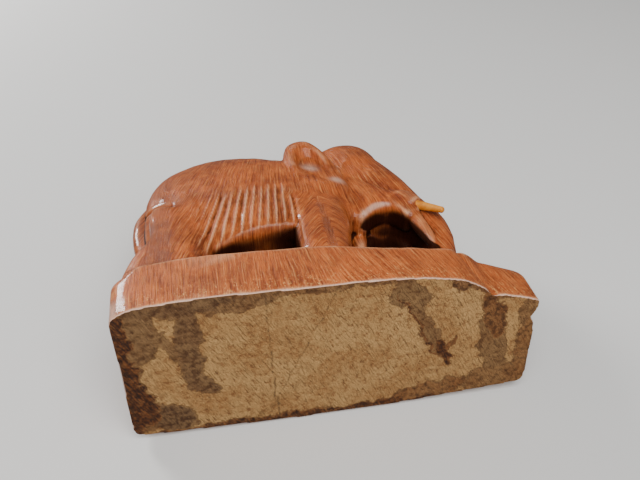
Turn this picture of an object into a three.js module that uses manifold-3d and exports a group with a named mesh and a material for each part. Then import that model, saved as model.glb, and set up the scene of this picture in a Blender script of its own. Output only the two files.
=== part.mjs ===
// A carved wooden elephant walking on a plinth, with two tusk pegs let into its cheeks.
// Millimetres, +Z up. The origin is the middle of the plinth's underside.
// The elephant faces +X, so its left side is towards +Y and its right side towards -Y.
// Elephant and plinth are one block of wood; only the tusks are separate pieces.
import * as THREE from 'three';
import { mergeVertices } from 'three/addons/utils/BufferGeometryUtils.js';
import Module from 'manifold-3d';

// ---- driving dimensions -------------------------------------------------------------
const LENGTH = 140;          // plinth, tail end to nose end
const WIDTH = 60;            // plinth, across at its widest
const CROWN = 120;           // top of the head above the underside
const PLINTH_TAIL = 22;      // plinth thickness under the hind feet
const PLINTH_NOSE = 19;      // plinth thickness under the trunk

const BACK_TOP = 115;        // highest point of the back
const BELLY = 42;            // lowest point of the belly
const BODY_HALF_WIDTH = 24.5;
const HIND_STRIDE = 10;      // how far the left hind foot is set ahead of the right one
const FORE_STRIDE = 17;      // the same for the left fore foot

const EAR_THICK = 4.5;       // how far an ear flap stands out of the neck
const EAR_FACE = 21.5;       // outer face of an ear, measured from the middle plane

const TUSK_ROOT_R = 1.9;     // radius of the tusk peg at the cheek
const TUSK_TIP_R = 1.1;
const TUSK_OUT = 13;         // length of tusk that shows
const TUSK_IN = 6;           // length of peg inside the cheek
const TUSK_ROOT = [44, 11.5, 65];   // where the tusk leaves the right or left cheek, y outwards
const TUSK_DROP = 36;        // degrees that the tusk points below level
const TUSK_SPLAY = 4;        // degrees that it points outwards
const GLUE_GAP = 0.3;        // room round a peg in its socket

const wasm = await Module();
wasm.setup();

// ---- solids ---------------------------------------------------------------------------
/** A closed three.js geometry as a solid. */
function solid(geometry) {
  const bare = geometry.index ? geometry.clone() : geometry;
  bare.deleteAttribute('normal');
  bare.deleteAttribute('uv');
  const merged = mergeVertices(bare, 1e-4);
  return new wasm.Manifold(new wasm.Mesh({
    numProp: 3,
    vertProperties: new Float32Array(merged.attributes.position.array),
    triVerts: new Uint32Array(merged.index.array),
  }));
}

/** A solid as a named three.js mesh with its own finish. */
function mesh(name, body, finish) {
  const { vertProperties, triVerts } = body.getMesh();
  const geometry = new THREE.BufferGeometry();
  geometry.setAttribute('position', new THREE.BufferAttribute(new Float32Array(vertProperties), 3));
  geometry.setIndex(new THREE.BufferAttribute(new Uint32Array(triVerts), 1));
  geometry.computeVertexNormals();
  const result = new THREE.Mesh(geometry, new THREE.MeshStandardMaterial(finish));
  result.name = name;
  return result;
}

const join = (pieces) => pieces.reduce((whole, piece) => whole.add(piece));

/**
 * A rounded limb: a unit sphere stretched along a smooth path, pole to pole.
 * Each station is [x, y, z, half width across, half depth]; between stations both sizes
 * run smoothly. bluntness 1 gives an egg, and towards 0 the ends turn square.
 */
function limb(stations, bluntness = 0.5, around = 24, along = 18) {
  const path = new THREE.CatmullRomCurve3(stations.map(([x, y, z]) => new THREE.Vector3(x, y, z)));
  const sizes = new THREE.CatmullRomCurve3(stations.map((s) => new THREE.Vector3(s[3], s[4], 0)));
  const geometry = new THREE.SphereGeometry(1, around, along);
  const position = geometry.attributes.position;
  const across = new THREE.Vector3();
  const deep = new THREE.Vector3();
  for (let i = 0; i < position.count; i += 1) {
    const sphere = new THREE.Vector3().fromBufferAttribute(position, i);
    const ring = Math.hypot(sphere.x, sphere.z);
    const t = (1 - sphere.y) / 2;
    const tangent = path.getTangent(t);
    across.set(0, 1, 0).addScaledVector(tangent, -tangent.y).normalize();
    deep.crossVectors(tangent, across);
    const size = sizes.getPoint(t);
    const swell = ring > 1e-6 ? ring ** bluntness / ring : 0;
    const point = path.getPoint(t)
      .addScaledVector(across, sphere.x * swell * size.x)
      .addScaledVector(deep, sphere.z * swell * size.y);
    position.setXYZ(i, point.x, point.y, point.z);
  }
  return solid(geometry);
}

/** An outline in the x-z plane, extruded in y from yFrom to yTo. */
function slab(shape, yFrom, yTo, steps = 10) {
  const geometry = new THREE.ExtrudeGeometry(shape, {
    depth: yTo - yFrom, bevelEnabled: false, curveSegments: steps,
  });
  geometry.rotateX(Math.PI / 2);
  geometry.translate(0, yTo, 0);
  return solid(geometry);
}

// ---- plinth ------------------------------------------------------------------------------
/** The plinth seen from above: straight sides, a rounded nose pulled in on the right. */
function plinthOutline() {
  const back = -LENGTH / 2;
  const front = LENGTH / 2;
  const right = -WIDTH / 2;
  const left = WIDTH / 2;
  const shape = new THREE.Shape();
  shape.moveTo(back, left - 4);
  shape.lineTo(back, -22);
  shape.quadraticCurveTo(back + 2, -27, back + 9, -28.5);
  shape.quadraticCurveTo(-40, right, -20, right);
  shape.quadraticCurveTo(22, right + 0.4, 38, -26.5);
  shape.quadraticCurveTo(50, -23, 56, -17);
  shape.quadraticCurveTo(64, -16, front - 1, -12);
  shape.quadraticCurveTo(front, -10, front, -6);
  shape.lineTo(front, 20);
  shape.quadraticCurveTo(front, 25.5, front - 4, 26);
  shape.quadraticCurveTo(40, left, 12, left);
  shape.quadraticCurveTo(-20, left - 1, back + 4, left - 1.5);
  shape.quadraticCurveTo(back, left - 1.5, back, left - 4);
  return shape;
}

/** The plinth: its top slopes gently down to the nose and its top edge is rounded. */
function plinth() {
  const geometry = new THREE.ExtrudeGeometry(plinthOutline(), {
    depth: 1, bevelEnabled: false, curveSegments: 6,
  });
  const block = solid(geometry);
  const side = new THREE.Shape();
  const half = LENGTH / 2;
  side.moveTo(-half - 1, 0);
  side.lineTo(half, 0);
  side.quadraticCurveTo(half, PLINTH_NOSE - 4, half - 6, PLINTH_NOSE - 1);
  side.quadraticCurveTo(half - 14, PLINTH_NOSE + 1, half - 30, PLINTH_NOSE - 1);
  side.quadraticCurveTo(10, PLINTH_NOSE - 1, -20, PLINTH_TAIL);
  side.lineTo(-half - 1, PLINTH_TAIL);
  side.closePath();
  const profile = slab(side, -WIDTH, WIDTH);
  return block.scale([1, 1, 2 * PLINTH_TAIL]).intersect(profile);
}

// ---- the elephant --------------------------------------------------------------------------
/** The barrel of the body, rump to chest: an arched back over a rounder belly. */
function barrel() {
  const middle = (BACK_TOP + BELLY) / 2;
  const depth = (BACK_TOP - BELLY) / 2;
  return limb([
    [-61, 0, middle - 1, 16, 23.5],
    [-48, 0, middle - 0.5, 21.5, depth - 4],
    [-32, 0, middle, BODY_HALF_WIDTH, depth],
    [-14, 0, middle - 1, BODY_HALF_WIDTH, depth - 3],
    [4, 0, middle, 22, depth - 7],
    [20, 0, middle + 3, 17, depth - 13],
  ], 0.42, 40, 24);
}

/** The head, from the nape over the crown and down the trunk to its tip on the plinth. */
function headAndTrunk() {
  return limb([
    [6, 0, CROWN - 20, 16, 16.5],
    [20, 0, CROWN - 19.5, 17.5, 22],
    [32, 0, 87, 15.5, 15.5],
    [42, 0, 72, 12, 10.5],
    [48.5, 0, 58, 8.8, 8.2],
    [50, 0, 44, 6.8, 6.8],
    [48.5, 0, 31, 5.8, 5.8],
    [50, 0, 17, 5.6, 6.2],
  ], 0.3, 28, 40);
}

/** The lower jaw under the trunk's root. */
function jaw() {
  return limb([[16, 0, 82, 11, 10], [27, 0, 73, 8, 7], [35, 0, 68, 5, 4]], 0.5, 20, 10);
}

/** One leg as a tapered post with a wider foot; y is outwards on the given side. */
function leg(side, stations) {
  const placed = stations.map(([x, y, z, across, depth]) => [x, side * y, z, across, depth]);
  return limb(placed, 0.22, 20, 14);
}

function legs() {
  const hind = (shift) => [
    [-48 + shift * 0.2, 12, 72, 10, 12],
    [-49 + shift * 0.4, 14.5, 56, 10.8, 11.5],
    [-49.5 + shift * 0.7, 16, 42, 9.5, 9.5],
    [-51.5 + shift, 16.5, 29, 9.5, 11],
    [-54 + shift, 17, 14, 10, 14.5],
  ];
  const fore = (shift) => [
    [3, 10, 88, 9, 11],
    [4 + shift * 0.5, 14, 66, 9.5, 10],
    [2 + shift * 0.8, 15, 46, 8.5, 8.5],
    [0.5 + shift, 15.5, 30, 8.5, 8.5],
    [1 + shift, 16, 12, 9.5, 9.5],
  ];
  return join([
    leg(-1, hind(0)), leg(1, hind(HIND_STRIDE)),
    leg(-1, fore(0)), leg(1, fore(FORE_STRIDE)),
  ]);
}

/** The ear flap seen from the side: broad above, drawn down to a tip behind the jaw. */
function earOutline() {
  const shape = new THREE.Shape();
  shape.moveTo(13, 104);
  shape.bezierCurveTo(8, 111, 1, 110, -3, 102);
  shape.bezierCurveTo(-6, 94, -2, 83, 5, 75);
  shape.bezierCurveTo(9, 69, 13, 65, 16, 66);
  shape.bezierCurveTo(20, 68, 19, 78, 19, 85);
  shape.bezierCurveTo(19, 92, 17, 98, 13, 104);
  return shape;
}

/** An ear: a slab of that outline with its outer face hollowed like a dish. */
function ear(side) {
  const inner = EAR_FACE - EAR_THICK - 8;
  const flap = side < 0
    ? slab(earOutline(), -EAR_FACE, -inner)
    : slab(earOutline(), inner, EAR_FACE);
  const hollow = new THREE.SphereGeometry(1, 28, 18);
  hollow.scale(8.5, EAR_THICK * 0.7, 16);
  hollow.rotateY(THREE.MathUtils.degToRad(16));
  hollow.translate(7.5, side * (EAR_FACE + 0.4), 89);
  return flap.subtract(solid(hollow));
}

/** The tail, hanging from the top of the rump against the thighs. */
function tail() {
  return limb([
    [-54, 0, 101, 4, 5], [-62, 0, 91, 4, 4.5], [-64, 0, 77, 3.6, 4.5],
    [-62, 0, 62, 3.2, 4.5], [-58, 0, 50, 3.4, 4], [-54, 0, 40, 3, 3],
  ], 0.4, 12, 16);
}

// ---- tusks -----------------------------------------------------------------------------------
/** Turns a tusk's own axis (+Y) to its direction and puts it at its root. */
function tuskPlace(side) {
  const drop = THREE.MathUtils.degToRad(TUSK_DROP);
  const splay = THREE.MathUtils.degToRad(TUSK_SPLAY);
  const direction = new THREE.Vector3(
    Math.cos(drop) * Math.cos(splay), side * Math.sin(splay), -Math.sin(drop) * Math.cos(splay),
  );
  const turn = new THREE.Quaternion().setFromUnitVectors(new THREE.Vector3(0, 1, 0), direction);
  const root = new THREE.Vector3(TUSK_ROOT[0], side * TUSK_ROOT[1], TUSK_ROOT[2]);
  return new THREE.Matrix4().compose(root, turn, new THREE.Vector3(1, 1, 1));
}

/** A turned shape on the tusk's axis, from [radius, distance along it] points. */
function turned(profile, side, sides = 24) {
  const points = profile.map(([radius, along]) => new THREE.Vector2(radius, along));
  const geometry = new THREE.LatheGeometry(points, sides);
  geometry.applyMatrix4(tuskPlace(side));
  return solid(geometry);
}

/** A tapered peg with a rounded tip. */
function tusk(side) {
  return turned([
    [0, -TUSK_IN], [TUSK_ROOT_R, -TUSK_IN], [TUSK_ROOT_R, 0],
    [(TUSK_ROOT_R + TUSK_TIP_R) / 2, TUSK_OUT * 0.6], [TUSK_TIP_R, TUSK_OUT - 0.8],
    [TUSK_TIP_R * 0.6, TUSK_OUT - 0.2], [0, TUSK_OUT],
  ], side);
}

/** The raised lip of wood round a tusk's socket. */
function lip(side) {
  const radius = TUSK_ROOT_R + 2.4;
  return turned([
    [0, -TUSK_IN - 1], [radius + 1, -TUSK_IN - 1], [radius, -1], [radius - 0.8, 0.6], [0, 1],
  ], side);
}

/** The blind hole that a tusk's peg is glued into. */
function socket(side) {
  const radius = TUSK_ROOT_R + GLUE_GAP;
  return turned([[0, -TUSK_IN - GLUE_GAP], [radius, -TUSK_IN - GLUE_GAP], [radius, 8], [0, 8]], side);
}

// ---- assembly ----------------------------------------------------------------------------------
function carvedBlock() {
  const whole = join([
    plinth(), barrel(), headAndTrunk(), jaw(), legs(), ear(-1), ear(1), tail(), lip(-1), lip(1),
  ]);
  return whole.subtract(socket(-1)).subtract(socket(1));
}

const WOOD = { color: 0x7a3524, roughness: 0.35, metalness: 0 };
const TUSK_WOOD = { color: 0xe6a860, roughness: 0.45, metalness: 0 };

const elephant = new THREE.Group();
elephant.add(
  mesh('carved_block', carvedBlock(), WOOD),
  mesh('tusk_right', tusk(-1), TUSK_WOOD),
  mesh('tusk_left', tusk(1), TUSK_WOOD),
);

export default elephant;
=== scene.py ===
"""A carved wooden elephant on its plinth, lying on its left side on a pale table.

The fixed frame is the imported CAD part: metres, +Z up, head towards +X, left side towards +Y.
Shapes are worked out in millimetres and scaled to metres when they become meshes.
"""
import math

import bpy
import numpy as np
from mathutils import Matrix, Vector


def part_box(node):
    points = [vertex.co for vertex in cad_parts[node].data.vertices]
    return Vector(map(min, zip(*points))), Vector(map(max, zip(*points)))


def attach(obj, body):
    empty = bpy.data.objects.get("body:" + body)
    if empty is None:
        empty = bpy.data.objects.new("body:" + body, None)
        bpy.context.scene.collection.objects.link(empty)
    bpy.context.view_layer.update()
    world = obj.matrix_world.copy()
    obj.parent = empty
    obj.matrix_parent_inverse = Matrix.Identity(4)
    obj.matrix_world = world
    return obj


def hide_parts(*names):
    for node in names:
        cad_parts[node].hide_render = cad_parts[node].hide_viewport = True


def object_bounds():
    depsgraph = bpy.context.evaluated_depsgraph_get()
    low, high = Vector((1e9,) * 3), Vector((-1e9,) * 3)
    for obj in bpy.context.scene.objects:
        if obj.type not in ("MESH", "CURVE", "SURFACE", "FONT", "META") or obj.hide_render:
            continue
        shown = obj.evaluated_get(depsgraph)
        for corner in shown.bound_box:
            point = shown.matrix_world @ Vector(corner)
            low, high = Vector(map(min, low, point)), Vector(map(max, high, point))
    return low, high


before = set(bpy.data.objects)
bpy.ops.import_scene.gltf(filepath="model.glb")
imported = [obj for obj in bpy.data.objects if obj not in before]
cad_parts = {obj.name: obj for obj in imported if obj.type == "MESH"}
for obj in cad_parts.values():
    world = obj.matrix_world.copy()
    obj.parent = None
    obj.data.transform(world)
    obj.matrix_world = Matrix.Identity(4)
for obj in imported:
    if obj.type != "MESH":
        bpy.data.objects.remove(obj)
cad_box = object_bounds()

MM = 0.001
BLOCK_LOW, BLOCK_HIGH = (np.array(corner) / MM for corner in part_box("carved_block"))
HALF_LENGTH = BLOCK_HIGH[0]          # of the plinth
HALF_WIDTH = BLOCK_HIGH[1]
CROWN = BLOCK_HIGH[2]                # top of the head
VOXEL = 0.5                          # grain of the carved surface, mm
MOST_TRIANGLES = 190_000
INSET = 0.02                         # keeps the carved surface just inside the block, mm
UNDERSIDE = 0.05                     # faces lower than this are the sawn underside, mm
RIGHT, LEFT = -1, 1


# ---- shape helpers -----------------------------------------------------------------------
def smooth(low, high, x):
    """0 below low, 1 above high, and the S-curve 3t^2 - 2t^3 between."""
    t = np.clip((x - low) / (high - low), 0, 1)
    return t * t * (3 - 2 * t)


def within(low, high, edge, x):
    """1 between low and high, fading to 0 over edge mm outside them."""
    return smooth(low - edge, low, x) * (1 - smooth(high, high + edge, x))


def catmull(knots, t, closed=False):
    """Points at t (0 to 1) on a Catmull-Rom curve through the knots."""
    knots = np.asarray(knots, float)
    count = len(knots)
    spans = count if closed else count - 1
    place = np.clip(t, 0, 1) * spans
    start = np.minimum(place.astype(int), spans - 1)
    f = (place - start)[..., None]
    near = [start + k for k in (-1, 0, 1, 2)]
    near = [i % count if closed else np.clip(i, 0, count - 1) for i in near]
    a, b, c, d = (knots[i] for i in near)
    return 0.5 * (2 * b + (c - a) * f + (2 * a - 5 * b + 4 * c - d) * f**2
                  + (3 * b - a - 3 * c + d) * f**3)


def unit(v):
    """Vectors of length 1 in the same directions."""
    return v / np.maximum(np.linalg.norm(v, axis=-1, keepdims=True), 1e-9)


def shell(rows):
    """Closed grid to points and faces: rows go pole to pole, each row goes once round.
    The first and the last row are each one point."""
    high, round_, _ = rows.shape
    points = np.concatenate([rows[:1, 0], rows[1:-1].reshape(-1, 3), rows[-1:, 0]])
    ring = 1 + np.arange((high - 2) * round_).reshape(high - 2, round_)
    after = np.roll(ring, -1, axis=1)
    quads = np.stack([ring[:-1], after[:-1], after[1:], ring[1:]], -1).reshape(-1, 4)
    first = np.stack([np.zeros(round_, int), after[0], ring[0]], -1)
    last = np.stack([np.full(round_, len(points) - 1), ring[-1], after[-1]], -1)
    return points, quads.tolist() + first.tolist() + last.tolist()


def limb(stations, bluntness=0.5, square=2.0, around=40, along=40):
    """A rounded limb on a smooth path. At angle a of a sphere's latitude the section's
    centre and half sizes are read off the stations at (1 - cos a) / 2, and the section is
    scaled by sin(a) to the power bluntness, so both ends close. Each section is the
    superellipse |x|^square + |y|^square = 1. A station is x, y, z, half width, half depth."""
    stations = np.asarray(stations, float)
    latitude = np.linspace(0, np.pi, along)
    t = (1 - np.cos(latitude)) / 2
    place = catmull(stations, t)
    step = unit(catmull(stations[:, :3], t + 0.01) - catmull(stations[:, :3], t - 0.01))
    across = unit(np.array([0, 1, 0]) - step * step[:, 1:2])
    deep = np.cross(step, across)
    swell = np.sin(latitude).clip(0, 1) ** bluntness
    angle = np.linspace(0, 2 * np.pi, around, endpoint=False)
    c, s = (np.sign(w) * np.abs(w) ** (2 / square) for w in (np.cos(angle), np.sin(angle)))
    rows = (place[:, None, :3]
            + across[:, None] * (place[:, 3] * swell)[:, None, None] * c[None, :, None]
            + deep[:, None] * (place[:, 4] * swell)[:, None, None] * s[None, :, None])
    return shell(rows)


def loft(stations, square, around=80, along=60):
    """Upright superellipse sections along x, on smooth curves through the stations, closed
    at both ends. A station is x, middle y, half width, bottom, top."""
    x, middle, wide, bottom, top = catmull(stations, np.linspace(0, 1, along)).T[..., None]
    angle = np.linspace(0, 2 * np.pi, around, endpoint=False)
    c, s = (np.sign(w) * np.abs(w) ** (2 / square) for w in (np.cos(angle), np.sin(angle)))
    height = (top + bottom) / 2 + (top - bottom) / 2 * s
    rows = np.stack([x + 0 * c, middle + wide * c, height], -1)
    ends = [np.broadcast_to(rows[k].mean(axis=0), rows[k].shape)[None] for k in (0, -1)]
    return shell(np.concatenate([ends[0], rows, ends[1]]))


def make_mesh(name, solids):
    """One object from a list of (points, faces) in mm."""
    points, faces, base = [], [], 0
    for p, f in solids:
        points.append(p)
        faces += [[i + base for i in face] for face in f]
        base += len(p)
    data = bpy.data.meshes.new(name)
    data.from_pydata((np.concatenate(points) * MM).tolist(), [], faces)
    data.update()
    piece = bpy.data.objects.new(name, data)
    bpy.context.scene.collection.objects.link(piece)
    return piece


def apply_modifiers(piece):
    """Bakes a piece's modifiers into its mesh."""
    evaluated = piece.evaluated_get(bpy.context.evaluated_depsgraph_get())
    baked = bpy.data.meshes.new_from_object(evaluated)
    piece.modifiers.clear()
    old = piece.data
    piece.data = baked
    bpy.data.meshes.remove(old)


def read_points(data):
    """All vertices, in mm."""
    flat = np.empty(len(data.vertices) * 3)
    data.vertices.foreach_get("co", flat)
    return flat.reshape(-1, 3) / MM


def write_points(data, points):
    data.vertices.foreach_set("co", (points * MM).ravel())
    data.update()


def read_normals(data):
    flat = np.empty(len(data.vertices) * 3)
    data.vertices.foreach_get("normal", flat)
    return flat.reshape(-1, 3)


def read_edges(data):
    flat = np.empty(len(data.edges) * 2, int)
    data.edges.foreach_get("vertices", flat)
    return flat.reshape(-1, 2)


def averaged(values, edges, times):
    """Moves each value halfway to the mean of its neighbours, times over."""
    a, b = edges.T
    count = len(values)
    joined = np.bincount(a, minlength=count) + np.bincount(b, minlength=count)
    values = values.copy()
    columns = values.reshape(count, -1)             # a view, so values change with it
    for _ in range(times):
        for k in range(columns.shape[1]):
            column = columns[:, k]
            total = (np.bincount(a, column[b], minlength=count)
                     + np.bincount(b, column[a], minlength=count))
            columns[:, k] = column + 0.5 * (total / np.maximum(joined, 1) - column)
    return values


# ---- noise -------------------------------------------------------------------------------
def lattice_value(cell, seed):
    """A fixed pseudo-random number from 0 to 1 for each whole-numbered cell."""
    n = (cell[..., 0] * 73856093) ^ (cell[..., 1] * 19349663) ^ (cell[..., 2] * 83492791)
    n = n ^ (seed * 2654435761)
    n = (n ^ (n >> 13)) * 1274126177
    return ((n ^ (n >> 16)) & 0xFFFF) / 0xFFFF


def rough(p, size, seed):
    """Smooth noise from -1 to 1: random values on a lattice of that size, blended by S-curves."""
    q = p / size
    cell = np.floor(q).astype(np.int64)
    f = q - cell
    f = f * f * (3 - 2 * f)
    total = np.zeros(len(p))
    for corner in np.ndindex(2, 2, 2):
        weight = np.prod(np.where(corner, f, 1 - f), axis=1)
        total += weight * lattice_value(cell + corner, seed)
    return total * 2 - 1


def scoops(p, size, seed):
    """Gouge scoops: 1 - d^2, d being the distance to the nearest of one random point per
    lattice cell, over size. It is 1 in the middle of a scoop, with a crest between scoops."""
    q = p / size
    cell = np.floor(q).astype(np.int64)
    nearest = np.full(len(p), 9.0)
    for shift in np.ndindex(3, 3, 3):
        other = cell + np.array(shift) - 1
        jitter = np.stack([lattice_value(other, seed + k) for k in range(3)], -1)
        nearest = np.minimum(nearest, np.sum((other + jitter - q) ** 2, axis=1))
    return 1 - np.minimum(nearest, 1)


# ---- plinth ------------------------------------------------------------------------------
PLINTH_TAIL = 22.0          # height at the tail end
PLINTH_DIP, PLINTH_FALL = 4.5, 3.0
EDGE_ROUND = 1.7            # radius of the top edge
NOSE_ROUND, CORNER_ROUND = 5.0, 6.2     # what the nose and the rear corner add to it
REAR_CORNER = [(-0.5, -20), (0, -24), (1.2, -25.9), (4, -27.5), (8, -28.6), (14, -29.2)]
NOSE_CORNER = [(37, -26.1), (42, -24.9), (46, -22.9), (50.5, -19.8), (53.8, -17.1), (58, -16),
               (63, -14.6), (67.4, -13)]


def plinth_top(x):
    """Height of the plinth along its length: level under the body, dipping round the fore
    feet and falling a little towards the nose."""
    dip = PLINTH_DIP * smooth(-8, 26, x) * (1 - smooth(34, 52, x))
    return PLINTH_TAIL - dip - PLINTH_FALL * smooth(30, 56, x)


def plinth():
    """The outline seen from above is carried up a profile: out along the underside, up the
    side, round the top edge and back in along the top."""
    back, front, side = -HALF_LENGTH, HALF_LENGTH, HALF_WIDTH
    outline = [(back, 22), (back, 8), (back, -8), *((back + x, y) for x, y in REAR_CORNER),
               (-44, -side), (-30, -side), (-11, -29.3), (3, -29.2), (15, -28.8), (27.5, -27.8),
               *NOSE_CORNER, (front, -11.6), (front, -8.5), (front - 1.6, -4.4),
               (front - 0.1, -0.6), (front, 12), (front, 22), (front - 1.2, 25.8),
               (front - 5, 26.8), (44, 28.2),
               (24, side - 0.5), (5, side - 0.2), (-14, side), (-34, 29.4), (-52, 28.8),
               (back + 3, 28), (back + 0.3, 26)]
    around = catmull(outline, np.linspace(0, 1, 560, endpoint=False), closed=True)
    inward = np.linspace(0, 1, 12)
    edge = np.linspace(0, np.pi / 2, 9)
    # Each row is its share of the way out, how far up it is (2 for the top), and its angle
    # round the edge
    rows = [(r, 0, 0) for r in inward]                          # underside
    rows += [(1, u, 0) for u in np.linspace(0.1, 1, 10)]        # side
    rows += [(1, 1, a) for a in edge[1:]]                       # rounded top edge
    rows += [(r, 2, 0) for r in inward[::-1]]                   # top
    nose = smooth(50, 66, around[:, 0])
    tail_corner = smooth(-60, -68, around[:, 0]) * smooth(-12, -24, around[:, 1])
    radius = EDGE_ROUND + NOSE_ROUND * nose + CORNER_ROUND * tail_corner
    outward = unit(around)
    grid = []
    for share, up, angle in rows:
        if up == 2:
            inset = radius
        else:
            inset = radius * (1 - math.cos(angle))
        plan = (around - outward * inset[:, None]) * share
        top = plinth_top(plan[:, 0])
        height = up * (top - radius) if up < 1 else top - radius * (1 - math.sin(angle))
        grid.append(np.column_stack([plan, top if up == 2 else height]))
    return shell(np.array(grid)[::-1])


# ---- the elephant ------------------------------------------------------------------------
ROUND_ABOVE, SQUARE_BELOW = 2.15, 7.0          # powers of the body's section
BELLY_HOLLOW = 4.0
HIND_STRIDE, FORE_STRIDE = 10, 17              # how far the left feet are set ahead


def barrel():
    """The body, rump to chest: superellipse sections, round above and squarer below, so
    that each flank turns under at a firm edge. Between the legs the belly is hollowed up
    by the parabola 1 - (y / half width)^2. Stations are x, top, bottom, half width."""
    stations = np.array([
        [-62.8, 83.5, 60, 10], [-60.9, 94.5, 51, 16], [-55.2, 104, 44, 20.4], [-46, 111.2, 36, 23],
        [-36, 114.4, 34.2, 24.2], [-28, 114.4, 39.4, 24.4], [-18, 112.5, 43, 24.4],
        [-8, 109.5, 44.6, 23.6], [4, 107, 48, 21], [16, 104, 57, 17], [25, 96, 66, 9]], float)
    x, top, bottom, wide = catmull(stations, np.linspace(0, 1, 90)).T
    angle = np.linspace(0, 2 * np.pi, 150, endpoint=False)
    c, s = np.cos(angle), np.sin(angle)
    middle = bottom + (top - bottom) * 0.5
    power = np.where(s > 0, ROUND_ABOVE, SQUARE_BELOW)
    across = np.sign(c) * np.abs(c) ** (2 / power)
    up = np.sign(s) * np.abs(s) ** (2 / power)
    half = np.where(s[None] > 0, (top - middle)[:, None], (middle - bottom)[:, None])
    under = np.where(s < 0, (1 - across**2) * up**4, 0)
    hollow = BELLY_HOLLOW * within(-40, 0, 8, x)[:, None] * under[None]
    rows = np.stack([
        np.broadcast_to(x[:, None], half.shape),
        wide[:, None] * across[None],
        middle[:, None] + half * up[None] + hollow], -1)
    ends = [np.broadcast_to(rows[k].mean(axis=0), rows[k].shape) for k in (0, -1)]
    return shell(np.concatenate([ends[0][None], rows, ends[1][None]]))


def head_and_trunk():
    """Nape, crown, brow and trunk as one limb that ends on the plinth."""
    return limb([
        [6, 0, CROWN - 21.5, 16, 17], [18.8, 0, CROWN - 19.4, 17, 21.8], [31.4, 0, 87.6, 16, 15.6],
        [41.8, 0, 71.8, 12.3, 10.6], [49.8, 0, 59.2, 8.8, 8.2], [49.8, 0, 45, 7, 6.7],
        [47.2, 0, 31, 6, 6], [47.4, 0, 16, 6.2, 6.6]], 0.3, 2.3, 72, 120)


def dome(side):
    """One of the twin domes of the forehead."""
    return limb([[13, side * 7.6, 100, 8.5, 14.6], [22.5, side * 8, 101.2, 9, 15.6],
                 [28, side * 8, 96, 8.6, 11.2], [31, side * 8, 86, 7.5, 8]], 0.4, 2.2, 56, 60)


def jaw():
    """The lower jaw, tucked up under the trunk's root."""
    return limb([
        [14, 0, 80, 12, 12], [26, 0, 73, 9, 8], [33, 0, 68.5, 6, 5], [37, 0, 66, 4, 3]])


def brisket():
    """The keel of the chest, coming down between the fore legs."""
    return limb([
        [16, 0, 84, 8, 10], [19.5, 0, 72, 6.5, 6.5], [20.5, 0, 60, 5, 4], [20, 0, 50, 4, 3]])


def cheek(side):
    """The full cheek between ear and tusk; its lower edge arches over the mouth."""
    return loft([[x, side * 8, wide, bottom, top] for x, wide, bottom, top in (
        (12, 7, 63, 92), (18, 7.2, 59, 92), (22, 7.1, 57.5, 90), (26, 6.9, 60.4, 86.5),
        (29.5, 6.7, 63.4, 82), (33.5, 6.4, 63.8, 77.5), (36.4, 6.2, 60.6, 73.5), (39, 5.8, 57, 70),
        (42, 5.2, 57, 67), (45, 4.4, 58.5, 64.5))], 3.6)


def lip(side):
    """The boss that carries the tusk's socket, opening towards the tusk."""
    return limb([[34, side * 8.6, 74, 5, 6], [41, side * 10.3, 68, 4.9, 5.6],
                 [45.3, side * 11.1, 64, 4.3, 4.6]], 0.25, 2.0, 40, 36)


def lip_fold(side):
    """A ridge from the tusk's root down the side of the mouth into the trunk."""
    return limb([[42.3, side * 9.4, 64, 3.4, 4], [43.2, side * 9, 56, 3.2, 3.4],
                 [45, side * 7.6, 50, 2.8, 3.2], [47.6, side * 5, 44, 2.2, 2.8]])


def thigh(side, shift):
    """The front of the thigh, flush with the flank and running down to the stifle."""
    return limb([
        [-43 + shift * 0.4, side * 14.5, 84, 8, 9], [-42 + shift * 0.5, side * 15.8, 66, 8.6, 9.5],
        [-41.4 + shift * 0.6, side * 16, 48, 8.4, 8.4],
        [-42.5 + shift * 0.9, side * 16.4, 33, 8.4, 6.4], [-43 + shift, side * 17, 24, 8, 6]],
        0.4, 2.8, 48, 50)


def hind_leg(side, shift):
    """A square-cut leg whose flat top stands proud of the rump, with its heel run out
    along the plinth."""
    return limb([
        [-53 + shift * 0.4, side * 15.2, 63, 9.2, 6.4],
        [-52 + shift * 0.4, side * 15.4, 57, 9.3, 7.6],
        [-50.4 + shift * 0.5, side * 15.8, 50, 9.5, 8.5],
        [-50 + shift * 0.6, side * 16.4, 42, 9.8, 9],
        [-51 + shift * 0.8, side * 17, 34, 10, 11], [-52.8 + shift, side * 17.6, 26, 10.2, 13.2],
        [-54 + shift, side * 17.8, 15, 10.4, 15]], 0.05, 4.2, 64, 80)


def fore_leg(side, shift):
    """A broad post from the shoulder, squarer at the foot."""
    return limb([
        [6 + shift * 0.2, side * 8, 90, 8, 8], [5.8 + shift * 0.3, side * 9.6, 76, 8.6, 9],
        [5.5 + shift * 0.5, side * 12.2, 61, 9.2, 9.6],
        [4 + shift * 0.8, side * 14.6, 48, 9.2, 10.6],
        [2.8 + shift, side * 15.6, 38, 9, 10.3], [2.2 + shift, side * 16.6, 28, 8.8, 9.8],
        [2.4 + shift, side * 17.2, 15, 9, 10]], 0.2, 2.9, 56, 70)


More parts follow.
